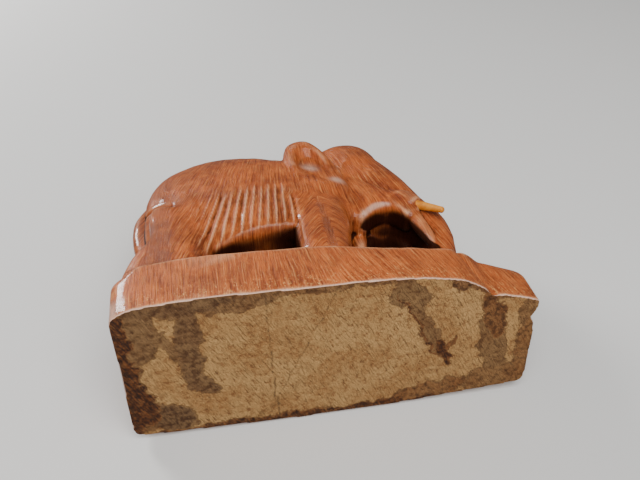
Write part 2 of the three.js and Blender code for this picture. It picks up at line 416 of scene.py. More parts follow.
EAR_MIDDLE = np.array([7.4, 86.5])
EAR_OUTLINE = [(15, 96), (9.6, 102.8), (4.2, 106), (-0.8, 104.6), (-4.1, 99.2), (-5.3, 92),
               (-5, 85), (-3.2, 80), (0.5, 75.6), (5.5, 71.4), (10.6, 67.8), (15, 65.8),
               (18.2, 68.6), (19.4, 75), (19, 82.5), (17.6, 89.5)]
EAR_FACE = 20.8             # how far the flap stands out from the middle plane
EAR_DISH = 2.2
EAR_DISH_SHARE, EAR_ROLL_SHARE = 0.6, 0.46     # where the dish ends and the rim begins
TOP_ROLL, LOW_ROLL = 2.5, 1.7
FRONT_LEAN, TOP_LEAN = 3.4, 0.8
EAR_ROOT = 9.0
EAR_BACK = [(0.97, EAR_FACE - 4), (0.93, EAR_FACE - 6), (0.9, EAR_ROOT), (0.45, EAR_ROOT),
            (0, EAR_ROOT)]             # share of the outline, distance out


def ear(side):
    """A dished flap. Going out from its middle the face is the hollow 1 - (share / 0.6)^2,
    and a rolled rim, half a sine wave to the power 0.7; the edge drops back into the neck. The roll
    is fullest along the top and the back, low along the bottom, and gone at the front,
    where the flap leans into the head."""
    around = catmull(EAR_OUTLINE, np.linspace(0, 1, 150, endpoint=False), closed=True)
    spoke = around - EAR_MIDDLE
    towards = unit(spoke)
    roll = TOP_ROLL * smooth(-0.35, 0.6, 0.8 * towards[:, 1] - 0.6 * towards[:, 0])
    roll += LOW_ROLL * smooth(0.2, 0.8, -towards[:, 1]) * smooth(1.0, 0.5, towards[:, 0])
    rows = []
    for share in np.linspace(0, 1, 50):
        plan = EAR_MIDDLE + spoke * share
        lean = FRONT_LEAN * smooth(5, 19, plan[:, 0]) - TOP_LEAN * smooth(88, 106, plan[:, 1])
        hollow = EAR_DISH * max(0, 1 - (share / EAR_DISH_SHARE) ** 2)
        outer = (share - EAR_ROLL_SHARE) / (1 - EAR_ROLL_SHARE)
        rim = math.sin(math.pi * min(1, max(0, outer))) ** 0.7
        face = EAR_FACE - lean - hollow + roll * rim
        rows.append(np.column_stack([plan[:, 0], side * face, plan[:, 1]]))
    for share, out in EAR_BACK:
        plan = EAR_MIDDLE + spoke * share
        rows.append(np.column_stack([plan[:, 0], np.full(len(plan), side * out), plan[:, 1]]))
    points, faces = shell(np.array(rows))
    return (points, faces) if side < 0 else (points, [face[::-1] for face in faces])


def tail():
    """A thick strap from the top of the rump, lying against the thighs."""
    return limb([
        [-50, 0, 102, 4.2, 5], [-58.2, 0, 95, 4.6, 5], [-63.4, 0, 86, 4.6, 4.6],
        [-64.8, 0, 76, 4.4, 4.2], [-63.4, 0, 66, 4, 4.4], [-60, 0, 57, 3.6, 4.2],
        [-56, 0, 48, 3.4, 3.4]], 0.35, 2.4, 32, 60)


def block_solids():
    """Everything that the block is carved into, as overlapping closed solids."""
    return [
        plinth(), barrel(), head_and_trunk(), jaw(), brisket(), tail(),
        *(part(side) for part in (dome, cheek, lip, lip_fold, ear) for side in (RIGHT, LEFT)),
        hind_leg(RIGHT, 0), hind_leg(LEFT, HIND_STRIDE),
        thigh(RIGHT, 0), thigh(LEFT, HIND_STRIDE),
        fore_leg(RIGHT, 0), fore_leg(LEFT, FORE_STRIDE),
    ]


# ---- carving -----------------------------------------------------------------------------
CUT_PITCH = 2.6             # of the gouge cuts down each flank
CUT_DEPTH = 0.8
CUT_FAN = 0.0085            # how fast the cuts spread as they go down
CUTS_UPRIGHT_AT = -5.0      # the x of the cut that stands upright
NOSE_FOLD_AT, NOSE_FOLD_LEAN = 45.5, 0.42      # x at a height of 19, mm back per mm up
NOSE_FOLD_DEPTH, NOSE_FOLD_WIDTH = 1.1, 1.5
EYE_AT = (30.5, 89)
EYE_TILT = (0.77, 0.64)     # cosine and sine of its slant
EYE_HALF = (2.6, 1.3)       # half length and half height
EYE_DEPTH = 0.25
LEDGE_HEIGHT, LEDGE_FALL = 69.4, 0.36          # at x = -60, mm down per mm forward
LEDGE_DEPTH, LEDGE_WIDTH = 0.8, 1.1
GROUND_SCOOP, BODY_SCOOP = 7.0, 8.5            # spacing of the scoops
GROUND_DEPTH, BODY_DEPTH, LEG_DEPTH = 0.5, 0.28, 0.1
SOFTENING, JOIN_SOFTENING = 3, 90              # rounds of averaging: everywhere, at the joins
NEAR_ROUNDS, FAR_ROUNDS = 14, 70               # rounds that find the hollows and the crests


def along_cuts(x, z):
    """Distance across the fan of flank cuts, measured along their upper ends at z = 72."""
    down = 72 - z
    return (x + CUT_FAN * CUTS_UPRIGHT_AT * down) / (1 + CUT_FAN * down) + 0.04 * down


def groove(away, wide):
    """The bell curve exp(-(away / wide)^2)."""
    return np.exp(-((away / wide) ** 2))


def flank_cuts(p):
    """Depth of the row of gouge cuts down each flank: across one cut, t going from 0 to 1,
    it is the parabola 1 - (2t - 1)^2, so crests stay sharp. Each cut starts at its own
    height and has its own depth, and the row fades out on the thigh and the shoulder."""
    x, y, z = p.T
    row = along_cuts(x, z) + 0.35 * rough(p, 9.0, 61)
    number = np.floor(row / CUT_PITCH)
    t = row / CUT_PITCH - number
    cell = np.stack([number, 0 * number, np.sign(y)], -1).astype(np.int64)
    start = 65 + 9 * lattice_value(cell, 5)
    deep = CUT_DEPTH * (0.65 + 0.5 * lattice_value(cell, 6))
    deep = deep * within(-31, -4.5, 1.5, row) + 0.35 * within(-39, -31, 2, row)
    flank = smooth(14, 18, np.abs(y)) * smooth(30, 34, z) * (1 - smooth(start - 7, start + 1, z))
    return deep * flank * (1 - (2 * t - 1) ** 2) * smooth(-43, -39, x)


def nose_fold(p):
    """A slanting crease down the right side, where the nose lobe was cut back."""
    x, y, z = p.T
    line = x - NOSE_FOLD_AT - NOSE_FOLD_LEAN * (19 - z)
    fold = NOSE_FOLD_DEPTH * groove(line, NOSE_FOLD_WIDTH)
    return fold * smooth(-11, -14, y) * smooth(20, 17, z)


def eye(p):
    """An almond cut into each side of the head: a groove along the ellipse
    (along / half length)^2 + (up / half height)^2 = 1."""
    x, y, z = p.T
    forward, above = x - EYE_AT[0], z - EYE_AT[1]
    along = forward * EYE_TILT[0] - above * EYE_TILT[1]
    up = forward * EYE_TILT[1] + above * EYE_TILT[0]
    ring = np.sqrt((along / EYE_HALF[0]) ** 2 + (up / EYE_HALF[1]) ** 2)
    return EYE_DEPTH * groove(ring - 1, 0.28) * smooth(9, 11, np.abs(y))


def haunch_ledge(p):
    """A crease above the flat top of each hind leg, falling as it goes forward."""
    x, y, z = p.T
    x = x - np.where(y > 0, 0.4 * HIND_STRIDE, 0)
    above = z - LEDGE_HEIGHT + LEDGE_FALL * (x + 60)
    crease = LEDGE_DEPTH * groove(above, LEDGE_WIDTH)
    return crease * within(-66, -51, 2, x) * smooth(10, 13, np.abs(y))


def legs_mask(p):
    """1 on the hind and fore legs, where the scoops are shallow."""
    x, y, z = p.T
    hind = within(-70, -42, 3, x) * smooth(66, 60, z)
    fore = within(-8, 15, 2, x) * smooth(64, 58, z)
    return np.maximum(hind, fore)


def soft_joins(p):
    """1 where a leg runs into the body, so that the join is rubbed smooth."""
    x, y, z = p.T
    left = y > 0
    shoulder = within(-12, 17, 5, x - 0.3 * FORE_STRIDE * left) * within(50, 80, 7, z)
    haunch = within(-50, -34, 4, x - 0.5 * HIND_STRIDE * left) * within(34, 84, 6, z)
    return np.maximum(shoulder, haunch) * smooth(11, 15, np.abs(y))


def inside_block(p):
    """Keeps points a hair inside the block's box, except at its underside."""
    return np.clip(p, BLOCK_LOW + [INSET, INSET, 0], BLOCK_HIGH - INSET)


def carve(data):
    """Cuts the tool marks into the joined block, moving points along their normals."""
    edges = read_edges(data)
    p = averaged(read_points(data), edges, SOFTENING)
    p += soft_joins(p)[:, None] * (averaged(p, edges, JOIN_SOFTENING) - p)
    write_points(data, p)
    n = read_normals(data)
    x, y, z = p.T
    elephant = smooth(0.3, 2, z - plinth_top(x))
    ground = (1 - elephant) * smooth(0.6, 0.9, n[:, 2])
    deep = np.where(legs_mask(p) > 0.5, LEG_DEPTH, BODY_DEPTH)
    facing_out = smooth(-0.8, -0.4, n[:, 2])
    move = -flank_cuts(p) * elephant * facing_out - nose_fold(p) - eye(p) - haunch_ledge(p)
    move -= GROUND_DEPTH * ground * scoops(p, GROUND_SCOOP, 3)
    move -= deep * elephant * scoops(p, BODY_SCOOP, 11)
    move += 0.2 * rough(p, 14, 21) + 0.1 * rough(p, 3.2, 22)
    p = p + n * move[:, None]
    p[(n[:, 2] < -0.7) & (z < 1.2), 2] = 0          # the underside stays flat
    write_points(data, inside_block(p))
    return edges


def store(data, name, values):
    """Keeps one number for each point, for the materials to read."""
    layer = data.attributes.get(name) or data.attributes.new(name, "FLOAT", "POINT")
    layer.data.foreach_set("value", values.astype(np.float32))


def mark_hollows(data, edges):
    """Stores from 0 to 1 how far each point lies below (hollow) or above (crest) the mean of
    its neighbourhood, close by and further off."""
    p = read_points(data)
    n = read_normals(data)
    near = averaged(p, edges, NEAR_ROUNDS)
    far = averaged(near, edges, FAR_ROUNDS)
    close = np.sum((near - p) * n, axis=1)
    wide = np.sum((far - p) * n, axis=1)
    hollow = 0.6 * smooth(0.02, 0.3, close) + smooth(0.25, 1.8, wide)
    crest = smooth(0.03, 0.28, -close) + 0.5 * smooth(0.4, 1.6, -wide)
    store(data, "hollow", np.clip(hollow, 0, 1))
    store(data, "crest", np.clip(crest, 0, 1))


def mark_lines(data):
    """Stores the distance across the tool lines: upright on the body and the plinth's
    tail end, leaning towards its nose, and an upturned V on the fore legs. Stores 1 on the
    plinth too."""
    p = read_points(data)
    x, y, z = p.T
    fork = x - 4.5 - np.where(y > 0, FORE_STRIDE, 0)
    upturned = 0.55 * np.clip(66 - z, 0, None) * np.tanh(fork / 0.8) * within(-11, 10, 5, fork)
    body = along_cuts(x, z) + y * smooth(-50, -60, x) - upturned * smooth(9, 13, np.abs(y))
    side = x + y - 0.45 * smooth(-25, 30, x) * (PLINTH_TAIL - z)
    elephant = smooth(-0.5, 0.5, z - plinth_top(x))
    store(data, "lines", np.where(elephant > 0.5, body, side))
    store(data, "plinth", 1 - elephant)


# The pockets of painted shade, with some dirt in them, under the belly, behind the trunk and at
# the sides of the tail: middle, half sizes, depth of tone
SHADED_POCKETS = [((-17, 0, 32), (27.5, 21.6, 16.2), 0.86), ((30, 0, 40), (10.8, 13.4, 26), 1.0),
           *(((-64, side * 9.5, 64), (6, 5, 13), 0.85) for side in (RIGHT, LEFT))]


def mark_pocket_shade(data):
    """Stores how far inside a pocket of painted shade, with some dirt, each point lies. The pocket
    behind the trunk follows the trunk's bend: its points are first moved back by 0.012 times
    the square of their depth below the tusks, and by 3 mm more near the middle plane. It pales
    to the right and reaches further over on the left. The pocket under the belly rises forward
    by 0.25 mm per mm."""
    p = read_points(data)
    x, y, z = p.T
    head = x > 15
    bend = (0.012 * np.clip(66 - z, 0, 23) ** 2 + 3 * smooth(8, 5, np.abs(y))) * head
    squeeze = 1 - 0.38 * smooth(58, 50, z) * (y > 0)
    lift = 0.25 * (x + 14) * within(-50, 15, 0.1, x)
    straight = np.column_stack([x - bend, y * squeeze, z - lift])
    inside = []
    for middle, half, tone in SHADED_POCKETS:
        away = np.sum(((straight - middle) / half) ** 6, axis=1) ** (1 / 6)
        inside.append(tone * smooth(1.05, 0.88, away))
    fading = np.where(head & (y < 0), 0.5 + 0.5 * smooth(-13, -7, y), 1)
    # The stored value is painted shade in the pockets, with some dirt; the material blackens by it.
    store(data, "pocket_shade_and_grime", np.max(inside, axis=0) * fading * smooth(-2, 1, z - plinth_top(x)))


# Places on the right painted pale as highlights, partly also rubbed varnish, in the ear, along
# the mouth and at the block's tail end: x, y, z, radius
RUB_AND_HIGHLIGHT_SPOTS = [(5.3, -19.4, 87.5, 4.6), (15, -18.3, 77, 4.0), (23, -13.4, 59.6, 1.5),
          (25, -13.4, 61.6, 1.5), (27, -13.4, 63.2, 1.5), (29, -13.4, 64.2, 1.6),
          (31.2, -13.4, 64.4, 1.5), (33.4, -13.3, 64, 1.3), (47, -13, 63, 1.5),
          (-69, -23, 6, 4), (-69, -24, 1, 4)]


def mark_rub_and_highlight(data):
    """Stores 1 at the painted highlight spots, partly rubbed varnish, falling off as a bell curve
    of the distance.
    """
    p = read_points(data)
    value = sum(groove(np.linalg.norm(p - (x, y, z), axis=1), radius) for x, y, z, radius in RUB_AND_HIGHLIGHT_SPOTS)
    store(data, "rub_and_highlight", np.clip(value, 0, 1))


def part_underside(data):
    """Gives the underside its own material slot and a sharp border, so that its shading
    stays flat."""
    centres = np.empty(len(data.polygons) * 3)
    data.polygons.foreach_get("center", centres)
    under = centres.reshape(-1, 3)[:, 2] < UNDERSIDE * MM
    data.polygons.foreach_set("material_index", under.astype(np.int32))
    corners = np.empty(len(data.polygons), int)
    data.polygons.foreach_get("loop_total", corners)
    edge_of = np.empty(len(data.loops), int)
    data.loops.foreach_get("edge_index", edge_of)
    touching = np.bincount(edge_of, np.repeat(under, corners), minlength=len(data.edges))
    sharp = data.attributes.new("sharp_edge", "BOOLEAN", "EDGE")
    sharp.data.foreach_set("value", touching == 1)


def thin_out(piece):
    """Collapses the flattest triangles until the piece is under its limit."""
    piece.data.calc_loop_triangles()
    count = len(piece.data.loop_triangles)
    if count > MOST_TRIANGLES:
        collapse = piece.modifiers.new("thin_out", "DECIMATE")
        collapse.ratio = MOST_TRIANGLES / count
        apply_modifiers(piece)
        p = read_points(piece.data)
        p[p[:, 2] < UNDERSIDE, 2] = 0               # collapsing may lift its edge
        write_points(piece.data, inside_block(p))


def carved_block():
    """Joins the solids by a voxel remesh, carves them, marks them and thins them out."""
    piece = make_mesh("carved_elephant", block_solids())
    weld = piece.modifiers.new("weld", "REMESH")
    weld.mode = "VOXEL"
    weld.voxel_size = VOXEL * MM
    apply_modifiers(piece)
    edges = carve(piece.data)
    mark_hollows(piece.data, edges)
    thin_out(piece)
    mark_lines(piece.data)
    mark_pocket_shade(piece.data)
    mark_rub_and_highlight(piece.data)
    piece.data.shade_smooth()
    part_underside(piece.data)
    return piece


# ---- tusks -------------------------------------------------------------------------------
TUSK_DROP = math.radians(36)
TUSK_SPLAY = math.radians(4)
TUSK_ROOT = (44, 11.5, 65)
TUSK_IN, TUSK_OUT = 5.8, 11.6          # lengths inside and outside the head
TUSK_RADIUS, TUSK_TAPER = 2.0, 0.06
TUSK_TIP = 1.3


def tusk(name):
    """A turned peg: straight in its socket, tapering outside it, with a domed tip. The
    radius is carried round the axis and made a little uneven."""
    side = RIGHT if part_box(name)[0][1] < 0 else LEFT
    level = math.cos(TUSK_DROP)
    axis = np.array([level * math.cos(TUSK_SPLAY), side * level * math.sin(TUSK_SPLAY),
                     -math.sin(TUSK_DROP)])
    root = np.array(TUSK_ROOT) * [1, side, 1]
    dome = np.linspace(0.2, np.pi / 2, 8)
    shank = np.linspace(-TUSK_IN, TUSK_OUT, 40)
    along = np.concatenate([[-TUSK_IN], shank, TUSK_OUT + TUSK_TIP * np.sin(dome)])
    tapered = TUSK_RADIUS - TUSK_TAPER * np.maximum(shank, 0)
    radius = np.concatenate([[0], tapered, tapered[-1] * np.cos(dome)])
    angle = np.linspace(0, 2 * np.pi, 48, endpoint=False)
    a = unit(np.cross(axis, [0, 0, 1.0]))
    b = np.cross(axis, a)
    wobble = 1 + 0.02 * np.sin(3 * angle)[None] + 0.015 * np.sin(along * 1.7)[:, None]
    ring = a * np.cos(angle)[:, None] + b * np.sin(angle)[:, None]
    rows = root + axis * along[:, None, None] + (radius[:, None] * wobble)[..., None] * ring
    piece = make_mesh(name + "_peg", [shell(rows[::-1])])
    piece.data.shade_smooth()
    return piece


# ---- build -------------------------------------------------------------------------------
elephant = carved_block()
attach(elephant, "root")
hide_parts("carved_block")

for node in ("tusk_right", "tusk_left"):
    peg = tusk(node)
    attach(peg, "root")
    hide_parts(node)


# ---- materials ---------------------------------------------------------------------------
class Paint:
    """Short ways to add and join the nodes of one material."""

    def __init__(self, name):
        self.material = bpy.data.materials.new(name)
        self.material.use_nodes = True
        self.tree = self.material.node_tree
        self.shader = self.tree.nodes["Principled BSDF"]
        self.place = self.node("ShaderNodeTexCoord").outputs["Object"]

    def node(self, kind, sockets=(), **settings):
        """A new node; sockets are (name or number, value or output to join) pairs."""
        new = self.tree.nodes.new(kind)
        for key, value in settings.items():
            setattr(new, key, value)
        for key, value in sockets:
            self.put(new.inputs[key], value)
        return new

    def put(self, socket, value):
        """Joins an output to the socket, or gives the socket its own value."""
        if isinstance(value, bpy.types.NodeSocket):
            self.tree.links.new(value, socket)
        elif isinstance(value, tuple) and len(value) == 3 and socket.type == "RGBA":
            socket.default_value = (*value, 1)
        else:
            socket.default_value = value

    def set(self, **values):
        """Values or outputs for the shader's own sockets, named with _ for a space."""
        for key, value in values.items():
            self.put(self.shader.inputs[key.replace("_", " ")], value)

    def mapped(self, scale, turn=(0, 0, 0), shift=(0, 0, 0), source=None):
        """Object coordinates in mm, or another vector, changed in this order: the scale, the
        turn in degrees, the shift."""
        sockets = [("Vector", source or self.place), ("Location", shift),
                   ("Rotation", tuple(math.radians(t) for t in turn)),
                   ("Scale", tuple(k / MM for k in scale) if source is None else scale)]
        return self.node("ShaderNodeMapping", sockets).outputs[0]

    def noise(self, vector, scale, detail=2.0, roughness=0.5, distortion=0.0):
        sockets = [("Vector", vector), ("Scale", scale), ("Detail", detail),
                   ("Roughness", roughness), ("Distortion", distortion)]
        return self.node("ShaderNodeTexNoise", sockets).outputs["Fac"]

    def cell_edges(self, vector, scale):
        """Distance to the nearest border between cells."""
        cells = self.node("ShaderNodeTexVoronoi", [("Vector", vector), ("Scale", scale)],
                          feature="DISTANCE_TO_EDGE")
        return cells.outputs["Distance"]

    def math(self, operation, a, b=0.0):
        return self.node("ShaderNodeMath", [(0, a), (1, b)], operation=operation).outputs[0]

    def rise(self, value, low, high, to_low=0.0, to_high=1.0):
        """A smooth step of the value from low to high, carried to a range."""
        sockets = [("Value", value), ("From Min", low), ("From Max", high), ("To Min", to_low),
                   ("To Max", to_high)]
        step = self.node("ShaderNodeMapRange", sockets, interpolation_type="SMOOTHSTEP")
        return step.outputs["Result"]

    def mix(self, factor, a, b):
        """Colour a, going over to colour b as the factor goes from 0 to 1."""
        sockets = [(0, factor), (6, a), (7, b)]
        return self.node("ShaderNodeMix", sockets, data_type="RGBA").outputs[2]

    def attribute(self, name):
        return self.node("ShaderNodeAttribute", attribute_name=name).outputs["Fac"]

    def axes(self, vector=None):
        node = self.node("ShaderNodeSeparateXYZ", [(0, vector or self.mapped((1, 1, 1)))])
        return node.outputs[0], node.outputs[1], node.outputs[2]

    def vector(self, x, y, z):
        return self.node("ShaderNodeCombineXYZ", [(0, x), (1, y), (2, z)]).outputs[0]

    def bump(self, height, relief, under=None):
        """Relief in mm for a height from 0 to 1, on top of another bump."""
        sockets = [("Height", height), ("Distance", relief * MM)]
        if under:
            sockets.append(("Normal", under))
        return self.node("ShaderNodeBump", sockets).outputs[0]


DARK = (0.085, 0.016, 0.007)
RED_BROWN = (0.25, 0.052, 0.017)
MID = (0.46, 0.1, 0.024)
ORANGE = (0.66, 0.19, 0.045)
WORN = (0.82, 0.42, 0.22)
GOLDEN = (0.88, 0.46, 0.16)
# Near black for pooled stain in hollows and for painted shade in the pockets.
SHADE_AND_GRIME_BLACK = (0.018, 0.005, 0.003)
# Pale for worn bare wood at the lower edge and for the painted highlight spots.
CHALKY_AND_HIGHLIGHT = (0.76, 0.5, 0.38)


def varnished_wood():
    """Red-brown varnish over upright grain: tone in clouds, fine streaks along the tool lines,
    dark pores, hollows blackened by pooled stain and painted shade, pockets blackened by
    painted shade and some dirt, crests worn to orange, and on the plinth a lighter side with
    golden flecks low down. The lower edge is chalky with wear, and the painted highlight
    spots, partly rubbed varnish, are chalky too."""
    paint = Paint("varnished_wood")
    hollow, crest, plinth = (paint.attribute(name) for name in ("hollow", "crest", "plinth"))
    mm = paint.mapped((1, 1, 1))
    x, y, z = paint.axes(mm)
    clouds = paint.noise(mm, 0.07, 3, 0.55)
    blotches = paint.noise(mm, 0.28, 3, 0.6)
    wander = paint.math("MULTIPLY", paint.noise(mm, 0.12, 1), 0.8)
    lines = paint.math("ADD", paint.attribute("lines"), wander)

    def drawn_out(across, up, over, scale, detail, roughness):
        """Noise drawn out along the tool lines."""
        place = paint.vector(paint.math("MULTIPLY", lines, across), paint.math("MULTIPLY", z, up),
                             paint.math("MULTIPLY", y, over))
        return paint.noise(place, scale, detail, roughness)

    streaks = drawn_out(1, 0.035, 0.035, 1.3, 3, 0.66)
    hairs = drawn_out(1, 0.05, 0.05, 2.5, 3, 0.7)
    pores = drawn_out(1.6, 0.45, 0.45, 2.2, 2, 0.5)
    specks = drawn_out(1, 0.55, 0.3, 1.5, 3, 0.7)
    grit = paint.noise(mm, 2.6, 3, 0.7)

    tone = paint.mix(paint.rise(clouds, 0.34, 0.62), RED_BROWN, MID)
    tone = paint.mix(paint.rise(blotches, 0.5, 0.78, 0, 0.5), tone, ORANGE)
    tone = paint.mix(paint.rise(blotches, 0.48, 0.3, 0, 0.5), tone, RED_BROWN)
    lighter_side = paint.math("MULTIPLY", plinth, paint.rise(grit, 0.35, 0.7, 0, 0.35))
    tone = paint.mix(lighter_side, tone, ORANGE)
    tone = paint.mix(paint.rise(streaks, 0.42, 0.66, 0, 0.45), tone, ORANGE)
    tone = paint.mix(paint.rise(streaks, 0.44, 0.28, 0, 0.4), tone, DARK)
    tone = paint.mix(paint.rise(hairs, 0.5, 0.34, 0, 0.6), tone, DARK)
    tone = paint.mix(paint.rise(hairs, 0.54, 0.68, 0, 0.3), tone, GOLDEN)
    tone = paint.mix(paint.rise(pores, 0.36, 0.26, 0, 0.6), tone, DARK)
    worn = paint.math("MULTIPLY", crest, paint.rise(grit, 0.3, 0.7, 0.4, 0.95))
    tone = paint.mix(worn, tone, WORN)
    # Pooled stain in the hollows and the painted shade of the pockets, both blackening the tone.
    hollow_stain_and_shade = paint.math("MULTIPLY", hollow, paint.rise(blotches, 0.2, 0.6, 1.15, 0.75))
    hollow_stain_and_shade = paint.math("MAXIMUM", hollow_stain_and_shade, paint.attribute("pocket_shade_and_grime"))
    shade_and_grime = paint.rise(hollow_stain_and_shade, 0.08, 0.8, 0, 0.97)
    tone = paint.mix(shade_and_grime, tone, SHADE_AND_GRIME_BLACK)

    ragged = paint.math("ADD", z, paint.math("MULTIPLY", blotches, -10))
    near_edge = paint.rise(ragged, 6, -5, 0.12, 1)
    flecks = paint.math("MULTIPLY", near_edge, paint.rise(specks, 0.55, 0.68, 0, 0.75))
    tone = paint.mix(paint.math("MULTIPLY", plinth, flecks), tone, GOLDEN)
    # Painted highlight spots, partly rubbed varnish, and the worn lower edge, mixed to pale.
    rub_and_highlight = paint.math("ADD", paint.attribute("rub_and_highlight"), paint.math("MULTIPLY", grit, 0.5))
    rub_and_highlight = paint.rise(rub_and_highlight, 0.4, 1.3)
    wavy = paint.math("ADD", z, paint.math("MULTIPLY", blotches, 0.6))
    edge = paint.rise(wavy, 0.95, 0.55, 0, 0.85)
    bare_and_highlight = paint.math("MAXIMUM", edge, paint.math("MULTIPLY", rub_and_highlight, 0.6))
    tone = paint.mix(bare_and_highlight, tone, CHALKY_AND_HIGHLIGHT)

    roughness = paint.rise(grit, 0.3, 0.75, 0.3, 0.46)
    roughness = paint.math("ADD", roughness, paint.math("MULTIPLY", plinth, 0.16))
    normal = paint.bump(streaks, 0.32)
    normal = paint.bump(hairs, 0.22, normal)
    normal = paint.bump(pores, 0.1, normal)
    normal = paint.bump(grit, 0.07, normal)
    coat = paint.math("MULTIPLY", paint.math("SUBTRACT", 1.0, shade_and_grime), 0.3)
    gloss = paint.math("MULTIPLY", paint.math("SUBTRACT", 1.05, shade_and_grime), 0.12)
    paint.set(Base_Color=tone, Roughness=roughness, Normal=normal, Coat_Weight=coat,
              Coat_Roughness=0.1, Specular_IOR_Level=gloss)
    return paint.material


TAN = (0.48, 0.235, 0.08)
PALE_TAN = (0.67, 0.38, 0.145)
STAIN = (0.07, 0.026, 0.012)
GREY_STAIN = (0.135, 0.068, 0.036)
RED_STAIN = (0.2, 0.058, 0.016)
SOOT = (0.03, 0.018, 0.013)
PALE_GRAIN = (0.85, 0.52, 0.2)
STAIN_WANDER = 11                      # how far the stains' borders stray, mm
SAW_SLANT = 27                         # degrees
CRACKS = [(2, 21), (-24, 10.5)]        # turn in degrees, distance from the middle

# Varnish run under the block: middle x and y, half length and half width, turn in degrees,
# how red it is from 0 to 1, strength
STAINS = [
    (-71, 0, 37, 6.6, 90, 0.6, 1.0), (-66, 13, 13, 5.4, 78, 0.6, 1.0),
    (-62.5, -17, 12, 6.4, 96, 0, 0.7), (-54.5, -13, 12, 1.8, 66, 0.3, 0.6),
    (-47.2, -12, 18, 4.3, 91, 0, 0.78), (-44.6, 7, 8, 3.6, 50, 0, 0.78),
    (-50, -28.5, 24, 4.4, 0, 0.1, 0.8), (-28, -25.5, 12, 2, -10, 0.4, 0.6),
    (-5, -30, 40, 3.2, 0, 0.5, 0.7), (24.5, -21, 8, 5.4, 60, 0.2, 0.5),
    (30, -8, 17, 3, 64, 0.3, 0.55), (28.4, -7, 18, 0.8, 63, 0.8, 0.9),
    (38, 6, 8, 2.1, 66, 0.9, 0.95), (40.5, 4, 5, 1.3, 118, 0.9, 0.8),
    (44, -25, 18, 3.6, 27, 0.5, 0.85), (54.3, -9, 13, 3.2, 74, 0.8, 0.85),
    (56, 8, 16, 5, 76, 0.5, 0.52), (71, -8, 8, 7, 90, 0.6, 0.6),
    (70.5, 10, 20, 5.6, 90, 0.9, 0.68), (0, 31.4, 80, 4.6, 0, 0.8, 0.95),
    (-56.5, 21.5, 8.5, 7, 20, 0, 0.85), (33, 26, 15, 5, -14, 0.9, 0.75),
    (60, 25, 13, 9, 0, 0.8, 0.58)]


